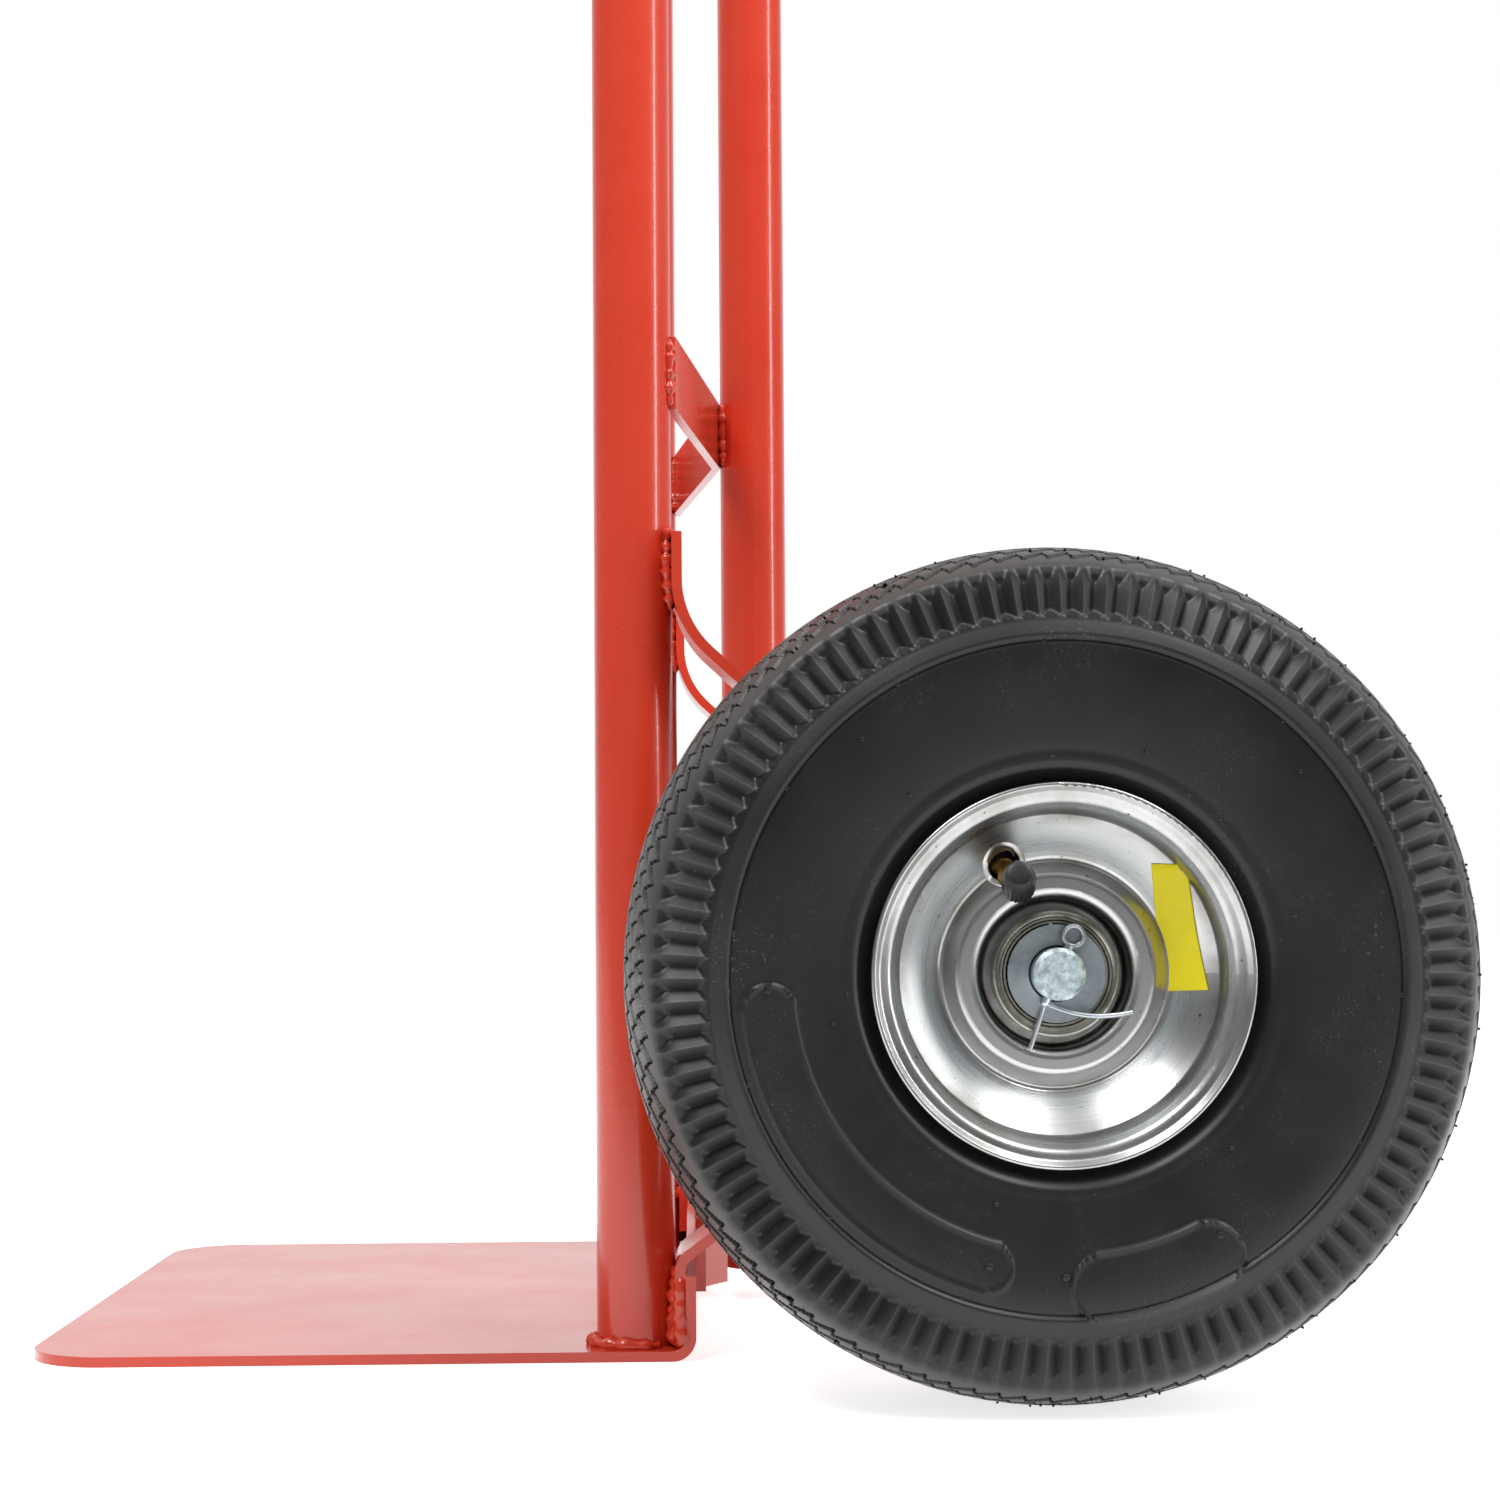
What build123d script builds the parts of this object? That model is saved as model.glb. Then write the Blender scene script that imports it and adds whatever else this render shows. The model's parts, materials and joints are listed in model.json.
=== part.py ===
from build123d import *
import os
from math import acos, atan2, cos, hypot, pi, radians, sin

os.makedirs("parts", exist_ok=True)

# Welded frame (mm); X across the truck, front is -Y, Z up from the floor
upright_spacing = 265.0
upright_d = 27.0
upright_wall = 2.0
bow_z = 1080.0
bow_bend_r = 85.0
spine_d = 25.4
spine_wall = 1.8
spine_back = 44.7
spine_foot_z = 12.0
strap_t = 3.5
strap_h = 25.4
brace_z = (324.5, 590.0, 855.0)
tie_z = 16.0
tie_half = 100.0
gusset_h = 54.0

# Pin handle on top of the spine
handle_bend_z = 1100.0
handle_bend_r = 110.0
handle_angle = 60.0
handle_len = 150.0
grip_len = 120.0
grip_wall = 4.0
grip_collar = 3.0
grip_collar_w = 8.0
grip_rib = 1.0
grip_ribs = 9

# Toe plate
plate_w = 304.8
plate_front = 206.0
plate_t = 3.5
plate_bend_r = 8.0
plate_corner_r = 28.0
flange_h = 28.4

# Axle and its hairpin brackets
axle_d = 15.875
axle_back = 130.0
axle_chamfer = 1.2
axle_stub = 27.0
bracket_w = 37.0
bracket_top_z = 280.0
bracket_knee_z = 249.0
bracket_knee_r = 34.0
bracket_low_z = 33.0
bracket_low_r = 6.0
bracket_foot_z = 12.0
spacer_d = 22.0
spacer_slip = 0.15

# Wheel, measured from its middle plane outward
track_half = 233.5
tyre_r = 131.4
tyre_half_w = 42.5
shoulder_low = (41.4, 106.0)
shoulder_high = (36.6, 120.6)
lug_count = 104
lug_depth = 2.6
lug_fill = 0.44
lug_lift = 1.5
lug_start = 0.8
lug_run_in = 2.8
lug_run_out = 6.0
tread_rows = (4.0, 11.9, 19.8, 27.5)
tread_groove_w = 1.8
tread_groove_d = 2.2
bead_r = 50.8
bead_half = 33.2
rim_half = 38.0
rim_edge_r = 57.4
rim_t = 1.6
rim_bend_r = 2.4
dish_u = 12.5
dish_r = 35.0
seat_u = 25.0
ring_u = 16.0
ring_r = 29.6
collar_r = 23.0
collar_depth = 10.0
web_u = -10.0
web_r = 24.0
hub_outer = 15.0
hub_inner = 40.0
hub_d = 38.1
hub_bore = 34.9
cup_flange_d = 38.4
cup_flange_t = 1.5
cup_len = 9.0
cup_wall = 1.6
cone_d = 21.0
cone_proud = 0.6
ball_d = 6.0
ball_count = 9
ball_pitch_r = 13.2
run_gap = 0.05
washer_d = 29.8
washer_bore = 17.2
washer_t = 2.0
tube_skin = 2.0
valve_hole_r = 5.0
valve_angle = 121.0
valve_r = 36.8
valve_slope = 0.5
valve_u = 14.0
valve_lean = 5.0
stem_base_u = -24.0
stem_tip_u = 24.0
stem_d = 7.6
cap_d = 10.4
cap_len = 12.0
cap_flutes = 20
cotter_d = 3.2
cotter_wire = 1.5
cotter_tilt = 24.0
leg_drop = 14.0
leg_reach = 26.0

# Derived positions
tube_y = (plate_front - axle_back - tyre_r) / 2
upright_x = upright_spacing / 2
spine_y = tube_y + spine_back
axle_y = tube_y + axle_back
axle_z = tyre_r
flange_rear = tube_y + upright_d / 2 + strap_t + plate_t
strap_y = tube_y + upright_d / 2 + strap_t / 2
cup_face = hub_outer + cup_flange_t
cone_outer = cup_face + cone_proud
cone_inner = -(hub_inner + cup_flange_t + cone_proud)
cotter_u = cone_outer + washer_t + cotter_d / 2 + run_gap
bracket_out = upright_x + bracket_w / 2


def save(shape, name):
    export_step(shape, f"parts/{name}.step")


def group(items):
    return Compound(children=list(items))


def tube(path, outer_d, wall):
    start = Plane(origin=path @ 0, z_dir=path % 0)
    outer = sweep(start * Circle(outer_d / 2), path)
    return outer - sweep(start * Circle(outer_d / 2 - wall), path)


def ring(u0, u1, outer_d, bore_d):
    """A sleeve about the X axis from u0 to u1."""
    profile = Pos((u0 + u1) / 2, (outer_d + bore_d) / 4) * Rectangle(abs(u1 - u0), (outer_d - bore_d) / 2)
    return revolve(profile, Axis.X)


def sheet(points, thickness, radius):
    """A pressed sheet turned about the X axis from its (u, r) centre line."""
    line = FilletPolyline(*points, radius=radius)
    return revolve(make_face(offset(line, amount=thickness / 2, kind=Kind.INTERSECTION).edges()), Axis.X)


def on_axle(shape, side):
    """Set a wheel-frame shape on the axle; side -1 is the mirrored left wheel."""
    placed = Pos(track_half, axle_y, axle_z) * shape
    return placed if side > 0 else mirror(placed, about=Plane.YZ)


def uprights_solid():
    return [Pos(s * upright_x, tube_y, bow_z / 2) * Cylinder(upright_d / 2, bow_z) for s in (-1, 1)]


def make_plate():
    rear, front = flange_rear, tube_y - plate_front
    outline = Polyline((front, 0), (rear, 0), (rear, flange_h), (rear - plate_t, flange_h),
                       (rear - plate_t, plate_t), (front, plate_t), close=True)
    face = make_face(outline)
    low_rear = face.vertices().group_by(Axis.Y)[0].sort_by(Axis.X)[-1]
    face = fillet(low_rear, plate_bend_r)
    inner = [v for v in face.vertices()
             if abs(v.X - rear + plate_t) < run_gap and abs(v.Y - plate_t) < run_gap]
    face = fillet(inner, plate_bend_r - plate_t)
    body = extrude(Plane.YZ * face, plate_w / 2, both=True)
    corners = body.edges().filter_by(Axis.Z).group_by(Axis.Y)[0]
    return fillet(corners, plate_corner_r)


def make_side_frame(plate):
    x, y = upright_x, tube_y
    path = FilletPolyline((-x, y, plate_t), (-x, y, bow_z), (x, y, bow_z), (x, y, plate_t),
                          radius=bow_bend_r)
    return tube(path, upright_d, upright_wall) - plate


def handle_path():
    a = radians(handle_angle)
    bend_end = (0, spine_y + handle_bend_r * (1 - cos(a)), handle_bend_z + handle_bend_r * sin(a))
    tip = (0, bend_end[1] + handle_len * sin(a), bend_end[2] + handle_len * cos(a))
    mid = (0, spine_y + handle_bend_r * (1 - cos(a / 2)), handle_bend_z + handle_bend_r * sin(a / 2))
    rise = Line((0, spine_y, spine_foot_z), (0, spine_y, handle_bend_z))
    bend = ThreePointArc((0, spine_y, handle_bend_z), mid, bend_end)
    return Wire([rise.edge(), bend.edge(), Line(bend_end, tip).edge()]), tip


def make_grip(tip):
    out = Plane(origin=tip, x_dir=(1, 0, 0), z_dir=(0, sin(radians(handle_angle)), cos(radians(handle_angle))))
    r_in, r_out = spine_d / 2, spine_d / 2 + grip_wall
    step = (grip_len - 2 * grip_collar_w) / grip_ribs
    points = [(0, grip_wall), (r_out + grip_rib, grip_wall), (r_out + grip_rib, 0)]
    for i in range(grip_ribs):
        z = -i * step
        points += [(r_out, z - step * 0.25), (r_out, z - step * 0.45), (r_out + grip_rib, z - step * 0.7)]
    foot = -grip_len
    points += [(r_out, foot + grip_collar_w), (r_out + grip_collar, foot + grip_collar_w),
               (r_out + grip_collar, foot), (r_in, foot), (r_in, 0), (0, 0)]
    return out * revolve(make_face(Plane.XZ * Polyline(*points, close=True)), Axis.Z)


def make_brace(z):
    """Bent strap: saddled on both uprights, its apex against the spine."""
    lift = strap_t
    apex = spine_y - spine_d / 2 - lift
    end = tube_y + upright_d / 2 - strap_t / 2
    x = upright_x + strap_t
    outline = Polyline((-x, end), (0, apex), (x, end), (x, end + lift), (0, apex + lift), (-x, end + lift),
                       close=True)
    body = Pos(0, 0, z) * extrude(make_face(outline), strap_h)
    for upright in uprights_solid():
        body -= upright
    return Compound(body.solids().sort_by(SortBy.VOLUME)[-1:])


def make_tie():
    """Low strap between the toe-plate flange and the spine foot."""
    y0, y1 = flange_rear, spine_y - spine_d / 2 - strap_t
    land, jog = tie_half - strap_h / 2, tie_half - strap_h
    outline = Polyline((-tie_half, y0), (-land, y0), (-jog, y1), (jog, y1), (land, y0), (tie_half, y0),
                       (tie_half, y0 + strap_t), (land, y0 + strap_t), (jog, y1 + strap_t),
                       (-jog, y1 + strap_t), (-land, y0 + strap_t), (-tie_half, y0 + strap_t), close=True)
    return Pos(0, 0, tie_z) * extrude(make_face(outline), strap_h)


def make_gusset():
    """Small plate between the top bow and the spine, cut to both tubes."""
    y0, y1 = tube_y, spine_y
    body = Pos(0, (y0 + y1) / 2, bow_z) * Box(strap_t, y1 - y0, gusset_h)
    body -= Pos(0, tube_y, bow_z) * Rot(0, 90, 0) * Cylinder(upright_d / 2, upright_spacing)
    body -= Pos(0, spine_y, bow_z) * Cylinder(spine_d / 2, 2 * gusset_h)
    front = Pos(0, tube_y - upright_d / 2, bow_z) * Box(upright_d, upright_d, 2 * gusset_h)
    body -= front
    return body


def tangent_point(px, pz, turn):
    """Where a strap leg from (px, pz) meets the nose circle round the axle."""
    r = axle_d / 2 + strap_t / 2
    d, phi = hypot(px - axle_y, pz - axle_z), atan2(pz - axle_z, px - axle_y)
    a = phi + turn * acos(r / d)
    return (axle_y + r * cos(a), axle_z + r * sin(a))


def make_bracket():
    """Hairpin strap: welded to the upright, round the axle and into the slot at the plate flange."""
    def at(p):
        return (upright_x, p[0], p[1])
    top, knee = (strap_y, bracket_top_z), (strap_y, bracket_knee_z)
    low, foot = (strap_y, bracket_low_z), (strap_y, bracket_foot_z)
    t1, t2 = tangent_point(*knee, -1), tangent_point(*low, 1)
    nose = (axle_y + axle_d / 2 + strap_t / 2, axle_z)
    upper = FilletPolyline(at(top), at(knee), at(t1), radius=bracket_knee_r)
    arc = ThreePointArc(at(t1), at(nose), at(t2))
    lower = FilletPolyline(at(t2), at(low), at(foot), radius=bracket_low_r)
    path = Wire(upper.edges() + arc.edges() + lower.edges())
    start = Plane(origin=path @ 0, x_dir=(1, 0, 0), z_dir=path % 0)
    return sweep(start * Rectangle(bracket_w, strap_t), path)


def make_axle():
    length = 2 * (track_half + axle_stub)
    bar = Pos(0, axle_y, axle_z) * Rot(0, 90, 0) * Cylinder(axle_d / 2, length)
    bar = chamfer(bar.edges().filter_by(GeomType.CIRCLE), axle_chamfer)
    for side in (-1, 1):
        hole = Rot(-cotter_tilt, 0, 0) * Cylinder(cotter_d / 2, 2 * axle_d)
        bar -= Pos(side * (track_half + cotter_u), axle_y, axle_z) * hole
    return bar


def make_spacer():
    u0 = bracket_out - track_half
    return ring(u0, cone_inner - washer_t, spacer_d, axle_d + 2 * spacer_slip)


def make_washers():
    flat = [ring(cone_outer, cone_outer + washer_t, washer_d, washer_bore),
            ring(cone_inner - washer_t, cone_inner, washer_d, washer_bore)]
    return group(on_axle(w, s) for s in (-1, 1) for w in flat)


def make_cotter():
    """Split pin: eye above the axle, one leg left straight and one bent to the rear."""
    u, t, reach = cotter_u, radians(cotter_tilt), axle_d / 2 + cotter_wire
    low = (u, -reach * sin(t), -reach * cos(t))
    eye_r = 2 * cotter_wire
    shank = Rot(-cotter_tilt, 0, 0) * Pos(u, 0, 0) * Cylinder(cotter_d / 2 - 2 * run_gap, 2 * reach)
    eye = Rot(-cotter_tilt, 0, 0) * Pos(u, 0, reach + eye_r) * Rot(0, 90, 0) * Torus(eye_r, cotter_wire / 2)
    straight = (u, low[1] - leg_drop / 3, low[2] - leg_drop)
    bent = [low, (u + cotter_wire, low[1] + 2 * cotter_wire, low[2] - cotter_wire),
            (u + cotter_wire, low[1] + leg_reach, low[2] - 2 * cotter_wire)]
    body = shank + eye + Pos(*low) * Sphere(cotter_d / 2 - 2 * run_gap)
    for line in (Line(low, straight), Spline(*bent)):
        body += sweep(Plane(origin=line @ 0, z_dir=line % 0) * Circle(cotter_wire / 2), line)
    return body


def lug_groove():
    """V groove between two shoulder lugs, cut by a sloping end at each side."""
    low, high = Vector(*shoulder_low), Vector(*shoulder_high)
    along = (high - low).normalized()
    out = Vector(along.Y, -along.X, 0)
    run = (high - low).length
    tall = lug_depth + lug_lift
    half_pitch = lug_fill * 2 * pi * (low + high).Y / 2 / lug_count
    side = Vector(0, 0, half_pitch * tall / lug_depth)
    ends = [(lug_start - lug_run_in * lug_lift / lug_depth, lug_lift), (lug_start + lug_run_in, -lug_depth),
            (run - lug_run_out / 3, -lug_depth), (run + lug_run_out, lug_lift)]
    outline = Polyline(*[low + along * s + out * h for s, h in ends], close=True)
    start = low - along * run
    vee = Polyline(start - out * lug_depth, start + out * lug_lift + side, start + out * lug_lift - side, close=True)
    block = extrude(make_face(outline), 2 * tall, dir=(0, 0, 1), both=True)
    return block & extrude(make_face(vee), 3 * run, dir=along)


def cut_lugs(tyre):
    """Shoulder grooves, one side half a pitch ahead; every second one at a time keeps the tools apart."""
    groove = lug_groove()
    other = mirror(groove, about=Plane.YZ)
    pitch = 360 / lug_count
    for start in (0, 1):
        turns = range(start, lug_count, 2)
        tyre = tyre - [Rot(X=(k + 0.5) * pitch) * groove for k in turns] - [Rot(X=k * pitch) * other for k in turns]
    return tyre


def tread_ring(u):
    """Round groove in the tread at distance u from the middle."""
    half, drop = shoulder_high[0], tyre_r - shoulder_high[1]
    crown_r = (half ** 2 + drop ** 2) / (2 * drop)
    section = Rectangle(tread_groove_w, 2 * tread_groove_d)
    return revolve(Pos(u, tyre_r - crown_r + (crown_r ** 2 - u ** 2) ** 0.5) * section, Axis.X)


def make_tyre():
    w, r = tyre_half_w, tyre_r
    toe, belly, band = (bead_half + 0.6, rim_edge_r), (w - 0.8, rim_edge_r + 21.7), (w - 0.5, r - 29.4)
    wall = 5.0
    inner = [(bead_half - 6.5, bead_r + 4), (w - 9, rim_edge_r + 11), (w - wall, r - 38), (w - wall - 3, r - 22),
             (w - 15, r - 14), (0, r - 9)]
    ihalf = [(-x, y) for x, y in inner]
    in_line = Spline(*(inner + ihalf[-2::-1]))
    bead = Polyline(toe, (bead_half, bead_r + 1), (bead_half - 1, bead_r), (bead_half - 6.5, bead_r), inner[0])
    side = bead.edges() + ThreePointArc(toe, belly, band).edges() + Polyline(band, shoulder_low, shoulder_high).edges()
    far_side = [mirror(edge, about=Plane.YZ) for edge in side]
    tread = ThreePointArc(shoulder_high, (0, r), (-shoulder_high[0], shoulder_high[1]))
    tyre = revolve(make_face(side + far_side + tread.edges() + in_line.edges()), Axis.X)
    tyre = tyre - [tread_ring(side * u) for u in tread_rows for side in (1, -1)]
    return cut_lugs(tyre)


def tube_face(inset):
    """Half section of the inflated tube, shrunk by inset."""
    w, r = tyre_half_w, tyre_r
    low = bead_r + 1.2 + inset
    pts = [(bead_half - 9 - inset, low), (w - 10.5 - inset, rim_edge_r + 14), (w - 6 - inset, r - 40),
           (w - 17 - inset, r - 16 - inset), (0, r - 9.6 - inset)]
    pts += [(-x, y) for x, y in pts[-2::-1]]
    return make_face(Spline(*pts).edges() + Line(pts[-1], pts[0]).edges())


def fill_tube():
    return revolve(tube_face(0), Axis.X)


def make_inner_tube():
    return fill_tube() - revolve(tube_face(tube_skin), Axis.X)


def stem_line():
    """Valve stem ends in the wheel frame: inside the tube, and at the cap."""
    a, lean = radians(valve_angle), valve_lean
    def at(u, shift):
        r = valve_r - valve_slope * (u - valve_u)
        return (u, r * cos(a) + shift * sin(a), r * sin(a) - shift * cos(a))
    return at(stem_base_u, 0), at(stem_tip_u, lean)


def rod(p, q, d):
    axis = Vector(*q) - Vector(*p)
    return Plane(origin=p, z_dir=axis) * Pos(0, 0, axis.length / 2) * Cylinder(d / 2, axis.length)


def lip_points():
    """Rolled edge and bead flange shared by both rim halves, from the edge inward."""
    return [(rim_half - 2 * rim_t, bead_r + rim_t), (rim_half - 1.5 * rim_t, rim_edge_r - 1.5 * rim_t),
            (rim_half - rim_t / 2, rim_edge_r - rim_t / 2)][::-1] + [(bead_half - rim_t, bead_r - rim_t / 2)]


def trim_rim(half):
    return half - ring(-hub_inner, hub_outer, hub_d, rim_t) - rod(*stem_line(), 2 * valve_hole_r)


def make_rim_outer():
    points = lip_points() + [(seat_u, bead_r - rim_t), (dish_u, dish_r), (ring_u, ring_r),
                             (ring_u, collar_r + rim_t / 2), (ring_u - collar_depth, collar_r),
                             (ring_u - collar_depth, hub_d / 2)]
    return trim_rim(sheet(points, rim_t, rim_bend_r))


def make_rim_inner():
    run, rise = seat_u - dish_u, bead_r - rim_t - dish_r
    gap = rim_t / hypot(run, rise)
    du, dr = -gap * rise, gap * run
    top = bead_r - rim_t / 2
    back_u = seat_u + du + (top - bead_r + rim_t - dr) * run / rise
    points = [(-u, r) for u, r in lip_points()] + [(back_u, top), (dish_u + du, dish_r + dr), (web_u, web_r),
                                                  (web_u, hub_d / 2)]
    return trim_rim(sheet(points, rim_t, rim_bend_r))


def ball_u():
    return hub_outer - cup_len / 2, cup_len / 2 - hub_inner


def race_groove(u):
    return Pos(u, 0, 0) * Rot(0, 90, 0) * Torus(ball_pitch_r, ball_d / 2 + run_gap)


def make_cups():
    cups = []
    for face, step, u in ((hub_outer, 1, ball_u()[0]), (-hub_inner, -1, ball_u()[1])):
        sleeve = ring(face, face - step * cup_len, hub_bore, hub_bore - 2 * cup_wall)
        lip = ring(face, face + step * cup_flange_t, cup_flange_d, hub_bore - 2 * cup_wall)
        cups.append(sleeve + lip - race_groove(u))
    return cups


def make_cones():
    bore = axle_d + 2 * spacer_slip
    ends = ((cone_outer, -1, ball_u()[0]), (cone_inner, 1, ball_u()[1]))
    return [ring(face, face + step * (cup_len + 2 * cone_proud), cone_d, bore) - race_groove(u)
            for face, step, u in ends]


def make_balls():
    return [Pos(u, 0, 0) * Rot(360 * i / ball_count, 0, 0) * Pos(0, ball_pitch_r, 0) * Sphere(ball_d / 2)
            for u in ball_u() for i in range(ball_count)]


def make_cap():
    base, tip = stem_line()
    out = (Vector(*tip) - Vector(*base)).normalized()
    frame = Plane(origin=tip, z_dir=out)
    cap = Pos(0, 0, cap_len / 2 - cap_len * 0.6) * Cylinder(cap_d / 2, cap_len)
    cap = chamfer(cap.edges().filter_by(GeomType.CIRCLE).sort_by(Axis.Z)[-1], 1.0)
    for i in range(cap_flutes):
        groove = Rot(0, 0, 360 * i / cap_flutes) * Pos(cap_d / 2, 0, 0) * Cylinder(0.35, 2 * cap_len)
        cap -= groove
    return frame * cap


plate = make_plate()
frame = make_side_frame(plate)
path, tip = handle_path()
spine = tube(path, spine_d, spine_wall)
save(plate, "toe_plate")
save(frame, "side_frame_tube")
save(spine, "spine_tube")
save(make_grip(tip), "handle_grip")
for z, name in zip(brace_z, ("lower", "middle", "upper")):
    save(make_brace(z), f"cross_brace_{name}")
save(make_tie(), "foot_tie_strap")
save(make_gusset(), "bow_gusset")
bracket = make_bracket()
save(bracket, "axle_bracket_right")
save(mirror(bracket, about=Plane.YZ), "axle_bracket_left")
save(make_axle(), "axle")
save(make_washers(), "axle_washers")

rims = {"rim_outer": make_rim_outer(), "rim_inner": make_rim_inner()}
tyre = make_tyre() - rims["rim_outer"] - rims["rim_inner"]
cap = make_cap()
stem = rod(*stem_line(), stem_d) - fill_tube() - cap
wheel = {"tyre": tyre, "inner_tube": make_inner_tube(), **rims,
         "hub_tube": ring(-hub_inner, hub_outer, hub_d, hub_bore),
         "bearing_cups": make_cups(), "bearing_cones": make_cones(), "bearing_balls": make_balls(),
         "valve_stem": stem, "valve_cap": cap, "axle_spacer": make_spacer(), "cotter_pin": make_cotter()}
for side, suffix in ((1, "right"), (-1, "left")):
    for name, shape in wheel.items():
        placed = group(on_axle(s, side) for s in shape) if isinstance(shape, list) else on_axle(shape, side)
        save(placed, f"{name}_{suffix}")
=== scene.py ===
import json
import math

import bpy
import bmesh
import numpy as np
from mathutils import Matrix, Vector


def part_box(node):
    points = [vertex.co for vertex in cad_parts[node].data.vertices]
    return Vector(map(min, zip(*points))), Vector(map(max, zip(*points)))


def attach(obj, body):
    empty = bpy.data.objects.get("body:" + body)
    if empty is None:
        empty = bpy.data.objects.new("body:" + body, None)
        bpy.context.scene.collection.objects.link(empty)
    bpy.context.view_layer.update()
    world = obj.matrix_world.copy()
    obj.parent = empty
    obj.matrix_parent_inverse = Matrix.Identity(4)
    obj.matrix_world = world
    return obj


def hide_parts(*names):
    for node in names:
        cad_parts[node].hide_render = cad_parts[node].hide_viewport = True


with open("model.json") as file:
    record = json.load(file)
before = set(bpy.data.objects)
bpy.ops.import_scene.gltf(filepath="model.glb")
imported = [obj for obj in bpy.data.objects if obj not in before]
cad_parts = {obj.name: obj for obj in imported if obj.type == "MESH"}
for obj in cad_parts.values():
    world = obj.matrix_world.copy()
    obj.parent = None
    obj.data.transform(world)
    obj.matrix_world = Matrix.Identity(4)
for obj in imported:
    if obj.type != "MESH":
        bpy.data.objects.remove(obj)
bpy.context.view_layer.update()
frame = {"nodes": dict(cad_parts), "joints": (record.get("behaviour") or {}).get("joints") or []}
nodes = frame["nodes"]

# Welded frame: steel tube, strap and a bent toe plate, sprayed all over in one coat of red gloss enamel.
# The tubes are drawn steel with a smooth skin; strap and plate are sheared, with lightly rounded edges.
enamel_red = (0.62, 0.045, 0.016, 1)
enamel_shade = (0.56, 0.034, 0.011, 1)
enamel_nick = (0.36, 0.03, 0.014, 1)
enamel_roughness = (0.22, 0.36)
peel_scale, peel_strength, peel_depth = 300.0, 0.16, 0.0006
edge_round, edge_steps, edge_past = 0.0007, 2, math.radians(32)
merge_within = 1e-5
cloud_span = (0.3, 0.7)
speck_full = 0.8
mix_first, mix_second, mix_colour_out = 6, 7, 2


def new_group(name, inputs, outputs):
    """An empty shader node group with number sockets, its inputs given with their usual values."""
    tree = bpy.data.node_groups.new(name, "ShaderNodeTree")
    for label, value in inputs.items():
        socket = tree.interface.new_socket(label, in_out="INPUT", socket_type="NodeSocketFloat")
        socket.default_value = value
    for label in outputs:
        tree.interface.new_socket(label, in_out="OUTPUT", socket_type="NodeSocketFloat")
    return tree, tree.nodes.new("NodeGroupInput"), tree.nodes.new("NodeGroupOutput")


def set_in(node, **values):
    """Set sockets of a node by name, with _ for a space."""
    for label, value in values.items():
        node.inputs[label.replace("_", " ")].default_value = value
    return node


def remap(tree, source, from_low, from_high, to_low=0.0, to_high=1.0, smooth=False):
    """A value output stretched from one range to another and held at both ends."""
    node = set_in(tree.nodes.new("ShaderNodeMapRange"), From_Min=from_low, From_Max=from_high,
                  To_Min=to_low, To_Max=to_high)
    if smooth:
        node.interpolation_type = "SMOOTHSTEP"
    tree.links.new(source, node.inputs["Value"])
    return node.outputs["Result"]


def speckle_group():
    """Mottled masks in object space: a soft cloud and fine specks."""
    tree, source, out = new_group("speckle", {"Scale": 30.0, "Speck Scale": 400.0, "Speck Limit": 0.68},
                                  ("Cloud", "Specks"))
    place = tree.nodes.new("ShaderNodeTexCoord")
    cloud = set_in(tree.nodes.new("ShaderNodeTexNoise"), Detail=6.0, Roughness=0.6)
    fine = set_in(tree.nodes.new("ShaderNodeTexNoise"), Detail=2.0, Roughness=0.5)
    for noise, scale in ((cloud, "Scale"), (fine, "Speck Scale")):
        tree.links.new(place.outputs["Object"], noise.inputs["Vector"])
        tree.links.new(source.outputs[scale], noise.inputs["Scale"])
    specks = remap(tree, fine.outputs["Fac"], 0.0, speck_full, smooth=True)
    tree.links.new(source.outputs["Speck Limit"], specks.node.inputs["From Min"])
    tree.links.new(cloud.outputs["Fac"], out.inputs["Cloud"])
    tree.links.new(specks, out.inputs["Specks"])
    return tree


speckle = speckle_group()


def new_material(name, **shader_values):
    """A material with its shader set: returns it, its node tree and the shader."""
    material = bpy.data.materials.new(name)
    material.use_nodes = True
    shader = set_in(material.node_tree.nodes["Principled BSDF"], **shader_values)
    return material, material.node_tree, shader


def add_speckle(tree, scale, speck_scale, speck_limit):
    """The speckle group placed in a material: returns its cloud and its specks."""
    node = tree.nodes.new("ShaderNodeGroup")
    node.node_tree = speckle
    set_in(node, Scale=scale, Speck_Scale=speck_scale, Speck_Limit=speck_limit)
    return node.outputs["Cloud"], node.outputs["Specks"]


def mix_colour(tree, mask, first, second):
    """Blend two colours, or colour outputs, by a mask output."""
    node = tree.nodes.new("ShaderNodeMix")
    node.data_type = "RGBA"
    tree.links.new(mask, node.inputs["Factor"])
    for socket, value in ((node.inputs[mix_first], first), (node.inputs[mix_second], second)):
        if isinstance(value, tuple):
            socket.default_value = value
        else:
            tree.links.new(value, socket)
    return node.outputs[mix_colour_out]


def paint(tree, shader, colour, roughness):
    """Feed a shader its colour and roughness outputs."""
    tree.links.new(colour, shader.inputs["Base Color"])
    tree.links.new(roughness, shader.inputs["Roughness"])


def bump_from(tree, shader, height, strength, distance):
    """Raise the surface by a height output."""
    bump = set_in(tree.nodes.new("ShaderNodeBump"), Strength=strength, Distance=distance)
    tree.links.new(height, bump.inputs["Height"])
    tree.links.new(bump.outputs["Normal"], shader.inputs["Normal"])


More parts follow.
